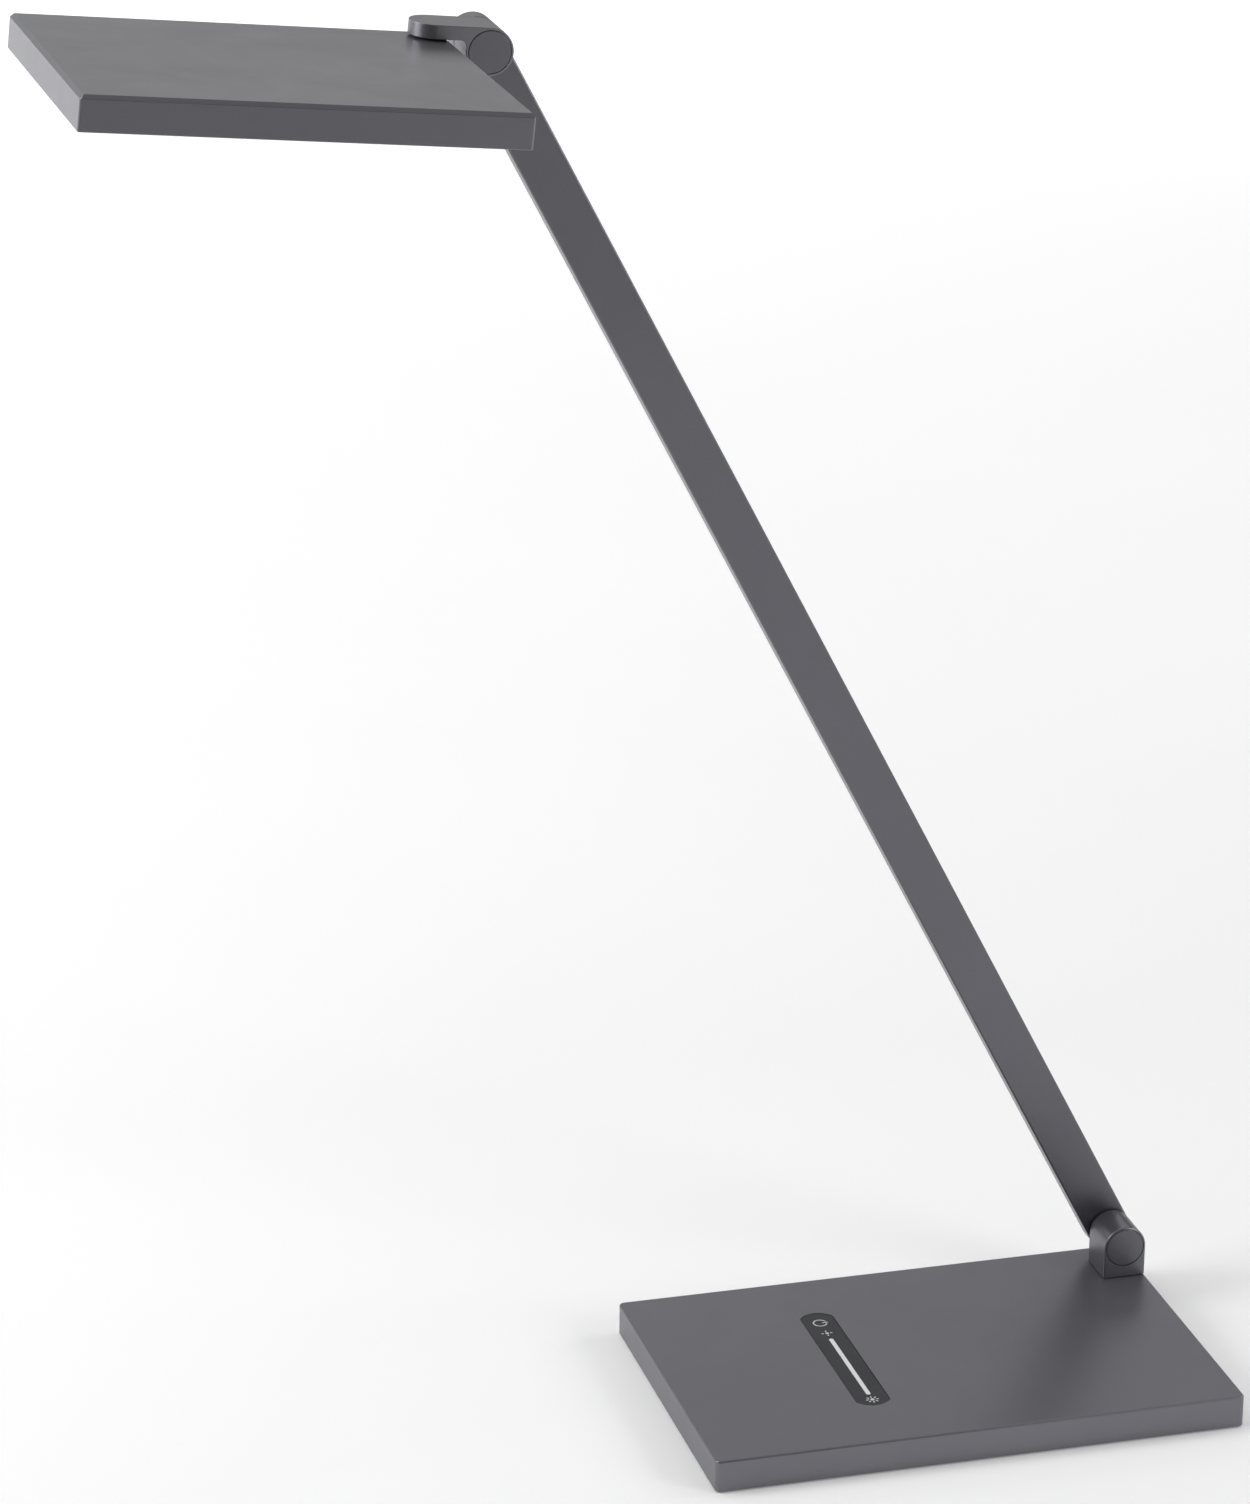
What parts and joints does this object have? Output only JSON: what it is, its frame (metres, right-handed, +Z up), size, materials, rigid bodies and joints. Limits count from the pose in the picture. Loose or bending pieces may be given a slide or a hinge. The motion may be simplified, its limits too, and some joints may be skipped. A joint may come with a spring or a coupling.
{
  "type": "desk lamp",
  "caption": "LED desk lamp with a weighted rectangular base and touch strip, one flat leaning arm, and a thin rectangular head that tilts and swivels on a bracket.",
  "frame": {"origin": "centre of the base's underside, on the anti-slip mat", "axes": "+X along the base towards the hinge end, +Y to the back, +Z up"},
  "size_m": [0.4169, 0.1328, 0.5178],
  "materials": {
    "base_paint": "satin anthracite paint",
    "arm_paint": "satin anthracite paint on aluminium",
    "cap_paint": "satin dark grey paint on aluminium",
    "bezel": "fine matt texture",
    "mat_rubber": "matt",
    "cover_steel": "matt black paint",
    "dark_plastic": "matt",
    "lens": "dark gloss",
    "slider": "translucent light grey",
    "marks": "printed",
    "steel": "zinc plated",
    "ballast": "mill finish",
    "brass": "plain",
    "board": "solder mask",
    "components": "moulded",
    "cable": "matt",
    "diffuser": "opal",
    "guide": "clear acrylic",
    "reflector": "white film",
    "led": "phosphor"
  },
  "bodies": {
    "base": {"base_housing": "base_paint", "base_cover": "cover_steel", "anti_slip_mat": "mat_rubber", "cover_screws": "steel", "ballast_plate": "ballast", "ballast_screws": "steel", "touch_lens": "lens", "slider_light": "slider", "touch_marks": "marks", "touch_board": "board", "control_board": "board", "board_parts": "components", "board_screws": "steel", "dc_jack": "dark_plastic", "hinge_block": "base_paint", "block_gasket": "mat_rubber", "block_screws": "steel", "block_cap": "cap_paint", "lower_thrust_washer": "dark_plastic", "lower_friction_washer": "brass"},
    "arm": {"arm_channel": "arm_paint", "arm_back_cover": "arm_paint", "arm_cover_screws": "steel", "lower_insert": "steel", "upper_insert": "steel", "arm_cable": "cable", "lower_hinge_pin": "steel", "lower_spring_washers": "brass", "lower_hinge_nut": "steel", "upper_hinge_pin": "steel", "upper_spring_washers": "brass", "upper_hinge_nut": "steel"},
    "bracket": {"head_bracket": "arm_paint", "bracket_cap": "cap_paint", "upper_thrust_washer": "dark_plastic", "upper_friction_washer": "brass", "swivel_pin": "steel", "swivel_washer": "dark_plastic", "swivel_spring_washer": "brass", "swivel_nut": "steel"},
    "head": {"head_housing": "arm_paint", "head_bezel": "bezel", "diffuser": "diffuser", "light_guide": "guide", "reflector_sheet": "reflector", "led_boards": "board", "leds": "led", "head_screws": "steel"}
  },
  "joints": [
    {"name": "arm_hinge", "type": "hinge", "parent": "base", "child": "arm", "pos_m": [0.0916, 0.0461, 0.0247], "axis": [0, 1, 0], "range_deg": [-32.4, 57.6]},
    {"name": "head_tilt", "type": "hinge", "parent": "arm", "child": "bracket", "pos_m": [-0.15626, 0.0461, 0.49882], "axis": [0, 1, 0], "range_deg": [-42, 60]},
    {"name": "head_swivel", "type": "hinge", "parent": "bracket", "child": "head", "pos_m": [-0.17466, 0.0461, 0.50072], "axis": [-0.1028, 0, -0.9947], "range_deg": [-18, 90]}
  ]
}
